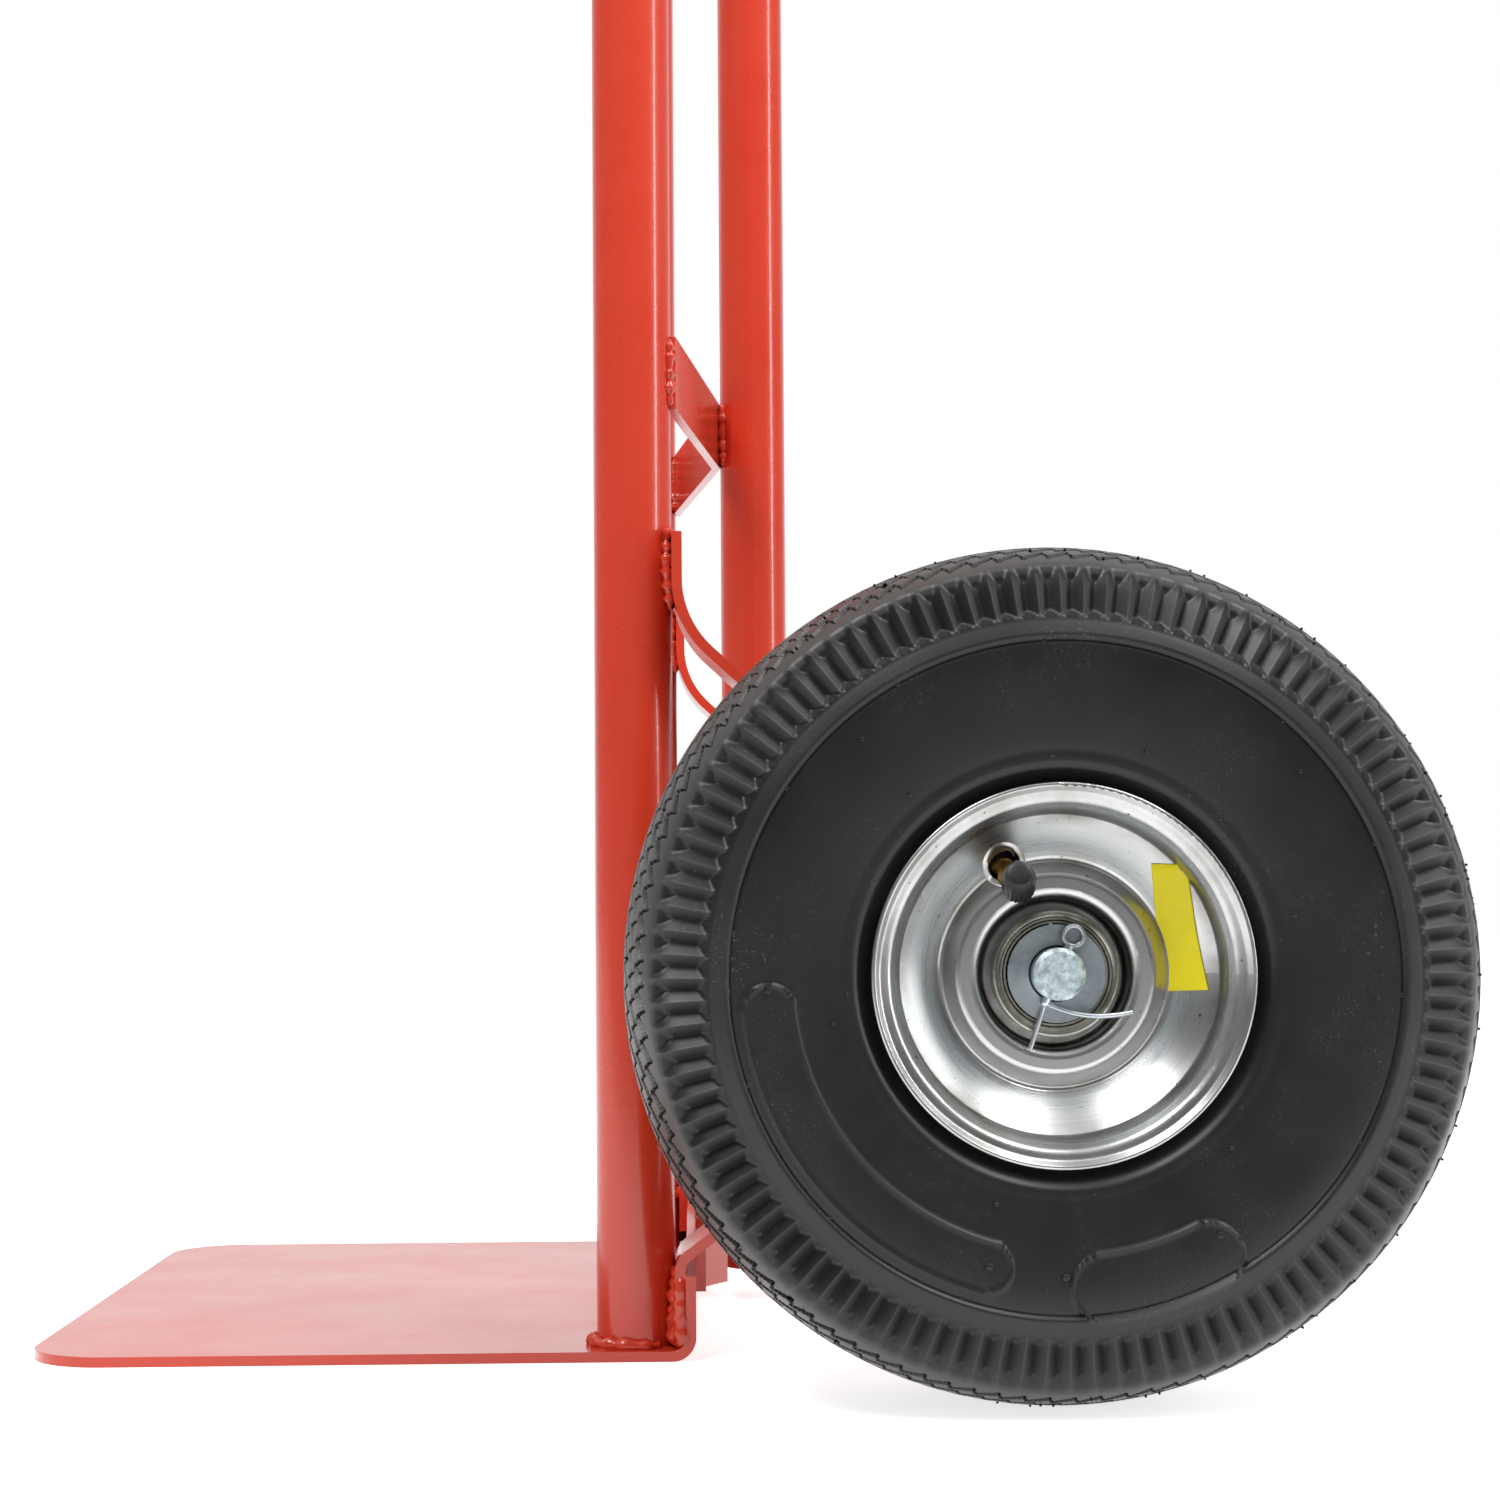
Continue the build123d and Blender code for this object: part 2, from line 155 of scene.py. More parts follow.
def red_enamel():
    """Gloss enamel with slight clouds, tiny nicks and an orange-peel skin."""
    material, tree, shader = new_material("red_enamel", Specular_IOR_Level=0.42, Coat_Weight=0.55,
                                          Coat_Roughness=0.1)
    cloud, specks = add_speckle(tree, scale=14.0, speck_scale=420.0, speck_limit=0.74)
    colour = mix_colour(tree, cloud, enamel_shade, enamel_red)
    nicked = mix_colour(tree, specks, colour, enamel_nick)
    paint(tree, shader, nicked, remap(tree, cloud, *cloud_span, *enamel_roughness))
    peel = set_in(tree.nodes.new("ShaderNodeTexNoise"), Scale=peel_scale, Detail=2.0)
    place = tree.nodes.new("ShaderNodeTexCoord")
    tree.links.new(place.outputs["Object"], peel.inputs["Vector"])
    bump_from(tree, shader, peel.outputs["Fac"], strength=peel_strength, distance=peel_depth)
    return material


def dress(name, material, round_edges=0.0):
    """Give a CAD node its finish: one material, smooth shading and, if asked, softly rounded edges."""
    piece = nodes[name]
    piece.data.materials.clear()
    piece.data.materials.append(material)
    for face in piece.data.polygons:
        face.use_smooth = True
    if round_edges:
        piece.modifiers.new("join", "WELD").merge_threshold = merge_within
        bevel = piece.modifiers.new("round", "BEVEL")
        bevel.width, bevel.segments, bevel.limit_method = round_edges, edge_steps, "ANGLE"
        bevel.angle_limit = edge_past
        piece.modifiers.new("even", "WEIGHTED_NORMAL").keep_sharp = True


enamel = red_enamel()
for name in ("toe_plate", "cross_brace_lower", "cross_brace_middle", "cross_brace_upper", "bow_gusset"):
    dress(name, enamel, edge_round)
for name in ("side_frame_tube", "spine_tube", "foot_tie_strap", "axle_bracket_right", "axle_bracket_left"):
    dress(name, enamel)

# Weld beads: mild-steel runs laid where tube, strap and plate meet, and painted over with the frame.
# Each is a lumpy string of puddles along its seam that thins at both ends. Sizes here are in millimetres.
mm = 0.001
bead_rng = np.random.default_rng(7)
bead_sides, bead_step, bead_least = 10, 0.55, 6
bead_ripple, bead_ripple_rate = 0.2, 2.4
bead_lumps, bead_wobble = 0.16, 0.09
bead_end, bead_end_rate, bead_end_share = 0.12, 2.5, 0.3
steep = 0.8
sheet = 3.5


def box_mm(name):
    """Lowest and highest corner of a CAD node in millimetres."""
    return [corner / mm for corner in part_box(name)]


tube_low, tube_high = box_mm("side_frame_tube")
upright_r = (tube_high.y - tube_low.y) / 2
upright_y = (tube_high.y + tube_low.y) / 2
upright_x = tube_high.x - upright_r
rear_seam = upright_y + upright_r
strap_middle = rear_seam + sheet / 2
spine_front = box_mm("spine_tube")[0].y
bracket_top = box_mm("axle_bracket_right")[1].z
foot_ring_out, foot_ring_up, foot_ring_bead = 1.2, 1.0, 2.4
foot_ring_turn, foot_ring_points = (-215, 35), 40
flange_leans, flange_bead, flange_z = ((9, -2.5), (14, -1), (17.5, 0.5)), 2.9, (sheet + 0.5, 28)
flange_top = ((-17, -1, 28.2), (17, -1, 28.2))
flange_top_bead = 2.2
bracket_end = ((-13, -0.6, 0), (13, -1.2, 1))
bracket_edge = ((7.5, -1.6, 2), (9.5, -1.8, -12), (7.5, -0.6, -26))
bracket_end_bead, bracket_edge_bead = 2.1, 1.8
brace_offs, brace_bead, brace_sink, brace_inset = (4.5, -7.5), 1.9, 0.4, 1
spine_off, spine_bead, spine_sink_low, spine_sink_high = 5, 2.2, 1.2, 0.8


def ring_faces(rings, sides):
    """Quads between neighbouring rings of vertices."""
    faces = []
    for start in range(0, (rings - 1) * sides, sides):
        for k in range(sides):
            on = (k + 1) % sides
            faces.append((start + k, start + on, start + sides + on, start + sides + k))
    return faces


def bead(points, radius):
    """Vertices and faces of a lumpy tube along points, a puddle every few millimetres."""
    points = np.array(points, float)
    lengths = np.r_[0, np.cumsum(np.linalg.norm(np.diff(points, axis=0), axis=1))]
    count = max(bead_least, int(lengths[-1] / (bead_step * radius)))
    along = np.linspace(0, lengths[-1], count)
    path = np.stack([np.interp(along, lengths, points[:, k]) for k in range(3)], 1)
    tangent = np.gradient(path, axis=0)
    tangent /= np.linalg.norm(tangent, axis=1)[:, None]
    helper = np.where(np.abs(tangent[:, 2:3]) < steep, [[0, 0, 1.0]], [[1.0, 0, 0]])
    across = np.cross(tangent, helper)
    across /= np.linalg.norm(across, axis=1)[:, None]
    third = np.cross(tangent, across)
    turn = np.linspace(0, 2 * math.pi, bead_sides, endpoint=False)
    lump = 1 + bead_ripple * np.sin(along / radius * bead_ripple_rate)
    lump = lump + bead_lumps * bead_rng.standard_normal(count)
    ends = np.sin(np.linspace(bead_end, math.pi - bead_end, count)) * bead_end_rate
    lump *= np.clip(ends, bead_end_share, 1)
    wobble = 1 + bead_wobble * bead_rng.standard_normal((count, bead_sides))
    spread = (radius * lump[:, None] * wobble)[..., None]
    ring = np.cos(turn)[None, :, None] * across[:, None] + np.sin(turn)[None, :, None] * third[:, None]
    verts = (path[:, None] + spread * ring).reshape(-1, 3)
    caps = [tuple(range(bead_sides))[::-1], tuple(range((count - 1) * bead_sides, count * bead_sides))]
    return verts * mm, ring_faces(count, bead_sides) + caps


def join_forms(forms):
    """One list of vertices and one of faces from several forms."""
    verts, faces = [], []
    for form_verts, form_faces in forms:
        faces += [tuple(i + len(verts) for i in face) for face in form_faces]
        verts += list(form_verts)
    return verts, faces


def mesh_of(name, verts, faces, material):
    """A smooth-shaded mesh in one material."""
    mesh = bpy.data.meshes.new(name)
    mesh.from_pydata([tuple(v) for v in verts], [], [tuple(f) for f in faces])
    mesh.materials.append(material)
    mesh.polygons.foreach_set("use_smooth", [True] * len(mesh.polygons))
    mesh.update()
    return mesh


def weld(name, runs):
    """One piece made of several beads, each given by its seam points and radius."""
    verts, faces = join_forms(bead(points, radius) for points, radius in runs)
    piece = bpy.data.objects.new(name, mesh_of(name, verts, faces, enamel))
    bpy.context.scene.collection.objects.link(piece)
    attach(piece, "frame")


def foot_ring(x):
    """Seam points round the foot of an upright, from the strap over the front and back to it."""
    reach, z = upright_r + foot_ring_out, sheet + foot_ring_up
    turn = np.radians(np.linspace(*foot_ring_turn, foot_ring_points))
    return [(x + reach * math.cos(a), upright_y + reach * math.sin(a), z) for a in turn]


for side, tag in ((1, "right"), (-1, "left")):
    x = side * upright_x
    runs = [(foot_ring(x), foot_ring_bead)]
    for reach, lean in flange_leans:
        seam = x + side * reach
        runs.append((((seam, strap_middle + lean, flange_z[0]), (seam, strap_middle + lean / 2, flange_z[1])),
                     flange_bead))
    runs.append(([(x + dx, strap_middle + dy, z) for dx, dy, z in flange_top], flange_top_bead))
    weld(f"foot_weld_{tag}", runs)
    runs = [([(x + dx, rear_seam + dy, bracket_top + dz) for dx, dy, dz in bracket_end], bracket_end_bead)]
    for edge in (-1, 1):
        runs.append(([(x + edge * dx, rear_seam + dy, bracket_top + dz) for dx, dy, dz in bracket_edge],
                     bracket_edge_bead))
    weld(f"bracket_weld_{tag}", runs)
for level in ("lower", "middle", "upper"):
    low, high = box_mm(f"cross_brace_{level}")
    runs = []
    for side in (-1, 1):
        for off in brace_offs:
            seam = side * (upright_x + off)
            heights = (low.z + brace_inset, high.z - brace_inset)
            runs.append(([(seam, rear_seam - brace_sink, z) for z in heights], brace_bead))
        seam = side * spine_off
        runs.append((((seam, spine_front + spine_sink_low, low.z + brace_inset),
                      (seam, spine_front + spine_sink_high, high.z)), spine_bead))
    weld(f"brace_weld_{level}", runs)

# Handle grip: a ribbed sleeve of black rubber on the bent end of the centre tube.
# It is moulded in one piece, pushed on over the enamelled tube and holds by its own stretch.
grip_black, grip_dusty, grip_roughness = (0.012, 0.012, 0.013, 1), (0.03, 0.03, 0.03, 1), 0.5
rubber_roughness_spread = 0.08


def black_rubber(name, colour, dusty, roughness):
    """Dull black with a dusty cloud and a fine grain."""
    material, tree, shader = new_material(name, Specular_IOR_Level=0.45)
    cloud, specks = add_speckle(tree, scale=22.0, speck_scale=900.0, speck_limit=0.62)
    rough = remap(tree, cloud, *cloud_span, roughness - rubber_roughness_spread,
                  roughness + rubber_roughness_spread)
    paint(tree, shader, mix_colour(tree, cloud, colour, dusty), rough)
    bump_from(tree, shader, specks, strength=0.15, distance=0.0003)
    return material


dress("handle_grip", black_rubber("grip_rubber", grip_black, grip_dusty, grip_roughness))

# Axle, spacers, flat washers and split pins: mild steel with a bluish bright-zinc plating.
# The axle's sawn ends show the crystals of the zinc. The bearings, pressed into the hub, are steel in a
# yellowish passivated zinc, with greasy cones and balls inside.
zinc_patch = (0.34, 0.62)
zinc_roughness_spread = 0.1


def plated_steel(name, colour, darkening, roughness, speck=0.66, scale=60.0):
    """Plated metal that is duller and rougher in its stained patches and specks."""
    material, tree, shader = new_material(name, Metallic=1.0)
    cloud, specks = add_speckle(tree, scale=scale, speck_scale=700.0, speck_limit=speck)
    tone = mix_colour(tree, remap(tree, cloud, *zinc_patch), darkening, colour)
    spotted = mix_colour(tree, specks, tone, darkening)
    rough = remap(tree, cloud, *cloud_span, roughness + zinc_roughness_spread, roughness)
    paint(tree, shader, spotted, rough)
    bump_from(tree, shader, cloud, strength=0.06, distance=0.0004)
    return material


zinc = plated_steel("bright_zinc", (0.62, 0.66, 0.69, 1), (0.36, 0.39, 0.41, 1), 0.32)
blue_zinc = plated_steel("blue_zinc", (0.42, 0.47, 0.50, 1), (0.22, 0.25, 0.27, 1), 0.34)
crystal_zinc = plated_steel("crystal_zinc", (0.85, 0.97, 1.0, 1), (0.30, 0.39, 0.42, 1), 0.38, 0.56, 330.0)
yellow_zinc = plated_steel("yellow_zinc", (0.46, 0.46, 0.40, 1), (0.20, 0.195, 0.15, 1), 0.24)
greased_steel = plated_steel("greased_steel", (0.09, 0.085, 0.075, 1), (0.03, 0.028, 0.024, 1), 0.3)
dress("axle", crystal_zinc)
dress("axle_washers", blue_zinc)
for name in ("axle_spacer_right", "axle_spacer_left", "cotter_pin_right", "cotter_pin_left"):
    dress(name, zinc)
for side in ("right", "left"):
    dress(f"bearing_cups_{side}", yellow_zinc)
    for name in ("bearing_cones", "bearing_balls"):
        dress(f"{name}_{side}", greased_steel)

# Rims: two pressed halves of bright drawn steel welded to a hub tube, with a valve hole in the outer dish.
# The press leaves fine rings round the axle, and the bare steel is pitted and stained.
# Painted shade and grime lie in the folds: the table below says how much there is at each radius, in
# millimetres.
rim_bright, rim_dull, rim_roughness = (0.60, 0.60, 0.60, 1), (0.46, 0.465, 0.47, 1), (0.27, 0.30)
rim_grime_and_shade, rim_pit = (0.16, 0.145, 0.115, 1), (0.07, 0.06, 0.05, 1)
rim_shade_and_grime_reach = 60.0
rim_shade_and_grime = ((0.0, 0.0), (22.0, 0.85), (25.0, 0.1), (31.5, 0.05), (34.6, 0.8), (37.5, 0.1), (44.5, 0.05),
            (47.8, 0.85), (50.5, 0.3), (53.5, 0.5))
rim_shade_and_grime_lip = (0.5, 0.5, 0.5, 1)
rim_shade_and_grime_patch = (0.38, 0.66)
axle_low, axle_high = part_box("axle")
axle_line = (0.0, (axle_low.y + axle_high.y) / 2, (axle_low.z + axle_high.z) / 2)


def ring_group():
    """Fine rings about the axle line, in object space, and the reach from that line in metres."""
    tree, source, out = new_group("press_rings", {"Scale": 900.0}, ("Rings", "Reach"))
    place = tree.nodes.new("ShaderNodeTexCoord")
    centre = tree.nodes.new("ShaderNodeVectorMath")
    flat = tree.nodes.new("ShaderNodeVectorMath")
    reach = tree.nodes.new("ShaderNodeVectorMath")
    centre.operation, flat.operation, reach.operation = "SUBTRACT", "MULTIPLY", "LENGTH"
    centre.inputs[1].default_value = axle_line
    flat.inputs[1].default_value = (0, 1, 1)
    rings = set_in(tree.nodes.new("ShaderNodeTexNoise"), Detail=3.0)
    rings.noise_dimensions = "1D"
    tree.links.new(place.outputs["Object"], centre.inputs[0])
    tree.links.new(centre.outputs["Vector"], flat.inputs[0])
    tree.links.new(flat.outputs["Vector"], reach.inputs[0])
    tree.links.new(reach.outputs["Value"], rings.inputs["W"])
    tree.links.new(source.outputs["Scale"], rings.inputs["Scale"])
    tree.links.new(rings.outputs["Fac"], out.inputs["Rings"])
    tree.links.new(reach.outputs["Value"], out.inputs["Reach"])
    return tree


def times(tree, first, second):
    """The product of a value output and another output or a plain number."""
    node = tree.nodes.new("ShaderNodeMath")
    node.operation = "MULTIPLY"
    tree.links.new(first, node.inputs[0])
    if isinstance(second, float):
        node.inputs[1].default_value = second
    else:
        tree.links.new(second, node.inputs[1])
    return node.outputs[0]


def grey_ramp(tree, place, stops, end):
    """A ramp along a 0 to 1 output: stops of place and grey, then an end colour at 1."""
    node = tree.nodes.new("ShaderNodeValToRGB")
    tree.links.new(place, node.inputs["Fac"])
    marks = node.color_ramp.elements
    for k, (at, grey) in enumerate(stops):
        mark = marks.new(at) if k else marks[0]
        mark.position, mark.color = at, (grey, grey, grey, 1)
    marks[-1].color = end
    return node.outputs["Color"]


def pressed_steel():
    """Bare pressed steel: rings from the press, grime and painted shade in the folds, and dark pits."""
    material, tree, shader = new_material("rim_steel", Metallic=1.0)
    cloud, specks = add_speckle(tree, scale=45.0, speck_scale=520.0, speck_limit=0.69)
    press = tree.nodes.new("ShaderNodeGroup")
    press.node_tree = ring_group()
    tone = mix_colour(tree, cloud, rim_dull, rim_bright)
    reach = remap(tree, press.outputs["Reach"], 0.0, rim_shade_and_grime_reach * mm)
    fold_shade_and_grime = grey_ramp(tree, reach, [(at / rim_shade_and_grime_reach, grey) for at, grey in rim_shade_and_grime], rim_shade_and_grime_lip)
    # Painted shade and grime: the steel is darkened by radius in its folds, in cloudy patches.
    darkening = times(tree, remap(tree, cloud, *rim_shade_and_grime_patch), fold_shade_and_grime)
    pitted = mix_colour(tree, specks, mix_colour(tree, darkening, tone, rim_grime_and_shade), rim_pit)
    paint(tree, shader, pitted, remap(tree, press.outputs["Rings"], *cloud_span, *rim_roughness))
    bump_from(tree, shader, press.outputs["Rings"], strength=0.004, distance=0.0003)
    return material


rim_steel = pressed_steel()
for side in ("right", "left"):
    for name in ("rim_outer", "rim_inner", "hub_tube"):
        dress(f"{name}_{side}", rim_steel)

# Rim stickers: a small yellow paper label with a plain face, stuck to the cone of the dish beside the hub.
# It is cut with straight sides and bends with the cone. Sizes are in millimetres about the axle.
sticker_yellow, sticker_worn, sticker_roughness = (0.84, 0.73, 0.008, 1), (0.72, 0.60, 0.004, 1), (0.3, 0.5)
sticker_corners = ((28.7, 33.0), (38.6, 32.5), (45.2, -5.1), (34.4, -5.7))
sticker_cone = (35.0, 13.57, 0.88)
sticker_lift, sticker_thick, sticker_reach = 0.35, 0.12, 48.6
sticker_grid = 16


def cone_front(cone, r):
    """How far out a cone of the dish stands at radius r; a cone is a radius, its front and its slope."""
    radius, front, slope = cone
    return front + (r - radius) * slope


def sticker_paper():
    """Faintly worn, half-gloss paper."""
    material, tree, shader = new_material("sticker_paper", Specular_IOR_Level=0.4)
    cloud, _ = add_speckle(tree, scale=120.0, speck_scale=900.0, speck_limit=0.66)
    paint(tree, shader, mix_colour(tree, cloud, sticker_worn, sticker_yellow),
          remap(tree, cloud, 0.0, 1.0, *sticker_roughness))
    return material


def sticker_mesh():
    """A thin sheet between four corners, laid on the cone."""
    top_left, top_right, low_right, low_left = (np.array(corner) for corner in sticker_corners)
    n = sticker_grid
    s, t = (share[..., None] for share in np.meshgrid(np.linspace(0, 1, n), np.linspace(0, 1, n)))
    flat = (1 - t) * (1 - s) * top_left + (1 - t) * s * top_right + t * s * low_right + t * (1 - s) * low_left
    r = np.minimum(np.hypot(flat[..., 0], flat[..., 1]), sticker_reach)
    front = cone_front(sticker_cone, r) + sticker_lift
    face = np.stack([front, flat[..., 0], flat[..., 1]], -1).reshape(-1, 3)
    back = face - [sticker_thick, 0, 0]
    cells = [(i * n + j, i * n + j + 1, (i + 1) * n + j + 1, (i + 1) * n + j)
             for i in range(n - 1) for j in range(n - 1)]
    rim = [*range(n), *(i * n + n - 1 for i in range(1, n)), *((n - 1) * n + j for j in range(n - 2, -1, -1)),
           *(i * n for i in range(n - 2, 0, -1))]
    edge = [(a, a + n * n, b + n * n, b) for a, b in zip(rim, rim[1:] + rim[:1])]
    faces = [cell[::-1] for cell in cells] + [tuple(i + n * n for i in cell) for cell in cells] + edge
    return mesh_of("rim_sticker", np.vstack([face, back]) * mm, faces, sticker_paper())


def on_wheels(name, mesh, replaced=None):
    """One piece on each wheel from a mesh drawn about the axle, outside toward +X."""
    for joint in frame["joints"]:
        side = joint["child"].split("_")[1]
        piece = bpy.data.objects.new(f"{name}_{side}", mesh)
        bpy.context.scene.collection.objects.link(piece)
        piece.location = joint["pos_m"]
        piece.rotation_euler.z = math.pi if side == "left" else 0.0
        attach(piece, joint["child"])
        if replaced:
            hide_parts(f"{replaced}_{side}")


on_wheels("rim_sticker", sticker_mesh())

# Valves: a bent brass stem from the inner tube, through a hole in the rim dish with a turned-out lip.
# The tube is black rubber, moulded on to the foot of the stem, and a fluted black plastic cap screws on top.
# Places are in millimetres from the wheel's middle, and outlines give heights and radii along the stem.
brass = plated_steel("valve_brass", (0.50, 0.30, 0.08, 1), (0.22, 0.12, 0.03, 1), 0.42)
cap_plastic = black_rubber("cap_plastic", (0.006, 0.006, 0.006, 1), (0.014, 0.014, 0.014, 1), 0.36)
tube_rubber = black_rubber("tube_rubber", (0.006, 0.006, 0.006, 1), (0.012, 0.012, 0.012, 1), 0.6)
stem_root, stem_bend = (-24.0, -22.0, 33.6), (14.5, -14.8, 32.0)
cap_root, cap_tip = (21.9, -11.6, 26.0), (33.5, -12.6, 30.2)
base_outline = ((0, 0), (0, 7.4), (30, 7.4), (32, 6.2), (33, 0))
stem_outline = ((0, 0), (0, 4.6), (3, 4.6), (6, 3.0), (40, 2.9), (40, 0))
neck_outline = ((-1.5, 0), (-1.5, 2.7), (2.2, 2.8), (3.4, 3.9), (10.6, 3.9), (10.6, 0))
cap_outline = ((0, 0), (0, 4.6), (0.5, 5.1), (8.6, 5.1), (9.4, 4.9), (11.4, 4.5), (12.6, 3.6), (13.0, 2.2),
               (12.8, 0))
stem_sides, cap_sides, cap_flutes, flute_depth = 32, 96, 24, 0.22
hole_y, hole_z, hole_r = -15.2, 33.1, 4.75
lip_outline = ((0.0, -0.9), (0.02, 0.2), (0.4, 0.62), (1.1, 0.5), (1.9, 0.1), (2.3, -0.4))
lip_sides = 64
inner_cone, outer_cone, valley_round, ring_front = (35.43, 13.17, -0.648), (34.47, 13.1, 0.88), 0.8, 16.8
turned_crease, turned_merge = math.radians(35), 1e-6


def turned(root, tip, outline, sides, flutes=0):
    """A lathe form along root to tip, with straight flutes on its widest part if asked."""
    turn = (Vector(tip) - Vector(root)).to_track_quat("Z", "Y").to_matrix()
    widest = max(r for _, r in outline)
    verts = []
    for height, r in outline:
        for k in range(sides):
            a = 2 * math.pi * k / sides
            cut = flute_depth if flutes and r == widest and (k * flutes * 2 // sides) % 2 else 0.0
            spoke = Vector(((r - cut) * math.cos(a), (r - cut) * math.sin(a), height))
            verts.append(Vector(root) + turn @ spoke)
    return np.array(verts) * mm, ring_faces(len(outline), sides)


def closed_mesh(name, forms, material):
    """One mesh from several closed forms, with its doubled points merged and sharp edges kept."""
    mesh = mesh_of(name, *join_forms(forms), material)
    work = bmesh.new()
    work.from_mesh(mesh)
    bmesh.ops.remove_doubles(work, verts=work.verts, dist=turned_merge)
    bmesh.ops.recalc_face_normals(work, faces=work.faces)
    work.to_mesh(mesh)
    work.free()
    mesh.set_sharp_from_angle(angle=turned_crease)
    return mesh


def dish_front(r):
    """Front face of the dish at radius r: two cones meeting in a rounded valley, then the flat ring."""
    inner, outer = cone_front(inner_cone, r), cone_front(outer_cone, r)
    return min(0.5 * (inner + outer + math.hypot(inner - outer, valley_round)), max(outer, ring_front))


def hole_lip():
    """The turned-out edge of the valve hole, laid along the curved dish."""
    verts, faces = [], []
    for k in range(lip_sides):
        a = 2 * math.pi * k / lip_sides
        for out, lift in lip_outline:
            y, z = hole_y + (hole_r + out) * math.cos(a), hole_z + (hole_r + out) * math.sin(a)
            verts.append((dish_front(math.hypot(y, z)) + lift, y, z))
    n = len(lip_outline)
    for k in range(lip_sides):
        on = (k + 1) % lip_sides
        faces += [(k * n + i, k * n + (i + 1) % n, on * n + (i + 1) % n, on * n + i) for i in range(n)]
    return np.array(verts) * mm, faces


for side in ("right", "left"):
    dress(f"inner_tube_{side}", tube_rubber)
stem_forms = [turned(stem_root, stem_bend, stem_outline, stem_sides),
              turned(stem_bend, cap_root, neck_outline, stem_sides)]
base_form = turned(stem_root, stem_bend, base_outline, stem_sides)
cap_form = turned(cap_root, cap_tip, cap_outline, cap_sides, cap_flutes)
on_wheels("valve_stem_brass", closed_mesh("valve_stem", stem_forms, brass), "valve_stem")
on_wheels("valve_base", closed_mesh("valve_base", [base_form], tube_rubber))
on_wheels("valve_cap_fluted", closed_mesh("valve_cap", [cap_form], cap_plastic), "valve_cap")
on_wheels("valve_hole_lip", closed_mesh("valve_hole_lip", [hole_lip()], rim_steel))

# Bearing shields: thin rings pressed from sheet and plated like the bearings, which they cover.
# Each is pushed into the mouth of its bearing, with two rolled ridges round the washer.
shield_front, shield_sides = 16.52, 96
shield_outline = ((0, 15.3), (0, 19.1), (0.7, 19.0), (0.9, 18.5), (0.5, 18.0), (0.25, 17.4), (0.75, 16.9),
                  (0.75, 16.4), (0.2, 15.9), (0.2, 15.3), (0, 15.3))
shield_form = turned((shield_front, 0, 0), (shield_front + 1, 0, 0), shield_outline, shield_sides)
on_wheels("bearing_shield", closed_mesh("bearing_shield", [shield_form], yellow_zinc))

# Tyres: moulded black rubber, with a scale-patterned tread, a ring of three-sided shoulder lugs, and on each
# wall a flat band and a bead rib. The outer wall has two plain raised pads.
# Profiles are (across, radius) in millimetres; the wall runs from the bead to the middle of the tread.
wall_points = ((33.2, 51.8), (33.9, 57.6), (38.8, 66.4), (42.3, 90.0), (42.0, 102.0), (39.9, 112.0),
               (36.6, 120.6), (29.5, 125.4), (20.0, 128.6), (10.0, 130.7), (0.0, 131.4))
lining = ((-27.0, 51.2), (-27.0, 56.0), (-33.0, 72.0), (-36.5, 93.0), (-30.0, 114.0), (0, 122.0),
          (30.0, 114.0), (36.5, 93.0), (33.0, 72.0), (27.0, 56.0), (27.0, 51.2))
wall_from = 24.0
curve_points = 40
fine_from, fine_step, medium_from, medium_step, coarse_step = 97, 0.8, 78, 1.0, 1.7
band_r, band_edge, band_tall, band_fall = (100.2, 105.4), 0.45, 1.35, 0.24
band_groove_r, band_groove_edge, band_groove_deep = (98.9, 99.4), 0.5, 0.35
bead_rib_r, bead_rib_edge, bead_rib_tall = (62.0, 64.0), 1.2, 0.9
pads = ((286.5, 16.5, 91.5, 10.0), (220.0, 39.0, 88.0, 8.0))
pad_tall, pad_edge = 0.3, (-0.2, 0.3)
pad_rib_tall, pad_rib, pad_rib_edge = 0.5, (0.3, 0.5), 0.7
lug_count, lug_columns = 104, 12
lug_low, lug_depth, lug_end = 106.4, 2.7, 0.95
lug_shallow, lug_shallow_r, lug_top_r = 0.55, (118.5, 121.0), (120.8, 123.2)
tread_rows = (-27.5, -19.8, -11.9, -4.0, 4.0, 11.9, 19.8, 27.5)
tread_swing, tread_depth, tread_rise = 4.2, 2.8, 0.83
tread_groove, tread_edge = (0.8, 1.5), (31.0, 32.5)
# Scuffed grey on the tread's top, the band and the lug gaps; on the lug ridges the grey line is partly a
# painted highlight.
scuffed_top_r, scuffed_top_height = (120.5, 122.5), (-0.9, -0.1)
scuffed_band, scuffed_band_r, scuffed_band_edge = 0.22, (100.4, 105.0), 0.4
scuffed_and_highlit_ridge, scuffed_gap, scuff_rate = 0.6, 0.3, 6
scuffed_lug_r, scuffed_lug_edge = (106.8, 119.5), 0.8
tyre_crease = math.radians(38)
wall_black, wall_grey = (0.004, 0.004, 0.005, 1), (0.012, 0.012, 0.0155, 1)
# Greys for scuffed rubber, also used for the painted highlight lines on the lug ridges.
worn_and_highlit_black, worn_and_highlit_grey = (0.022, 0.021, 0.020, 1), (0.075, 0.071, 0.066, 1)
rubber_dust = (0.09, 0.088, 0.085, 1)
tyre_roughness, dust_patch = (0.33, 0.46), (0.5, 0.66)


